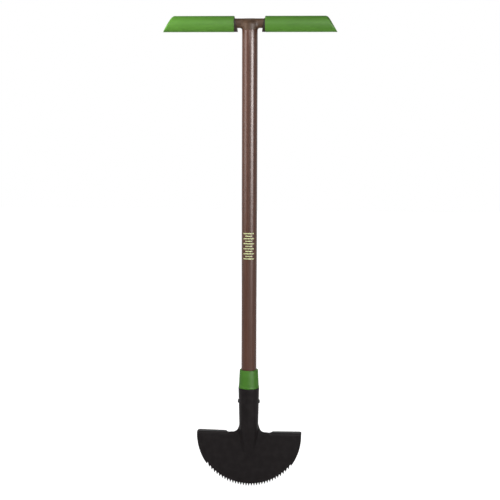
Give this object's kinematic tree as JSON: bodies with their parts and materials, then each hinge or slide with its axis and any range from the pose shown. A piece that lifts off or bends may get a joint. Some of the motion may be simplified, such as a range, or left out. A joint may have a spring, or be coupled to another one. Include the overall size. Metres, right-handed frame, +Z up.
{
  "type": "border edger",
  "caption": "Long-handled half-moon border edger with a saw-toothed blade, foot treads, socketed tube and cross handle with grips.",
  "frame": {"origin": "on the handle tube's axis, level with the lowest tooth tips of the blade", "axes": "+Z up along the tube towards the cross handle, +X along the cross handle and the treads, +Y to the back, where the treads point; the blade's raised rib faces -Y"},
  "size_m": [0.356, 0.0447, 0.99],
  "materials": {
    "black_powder_coat": "satin black powder coat on pressed steel",
    "black_rivet": "blackened steel rivet",
    "green_collar": "semi-gloss moulded green plastic",
    "brown_tube_paint": "semi-gloss brown paint on steel tube",
    "dark_plug": "dull moulded plastic",
    "cream_print": "cream film",
    "brown_moulding": "satin moulded brown plastic",
    "zinc_screw": "zinc-plated steel",
    "green_grip": "soft satin green grip"
  },
  "bodies": {
    "root": {"blade_head": "black_powder_coat", "socket_rivet": "black_rivet", "ferrule_collar": "green_collar", "handle_tube": "brown_tube_paint", "tube_foot_plug": "dark_plug", "handle_label": "cream_print", "tee_core": "brown_moulding", "tee_screw": "zinc_screw", "grip_left": "green_grip", "grip_right": "green_grip"}
  },
  "joints": []
}
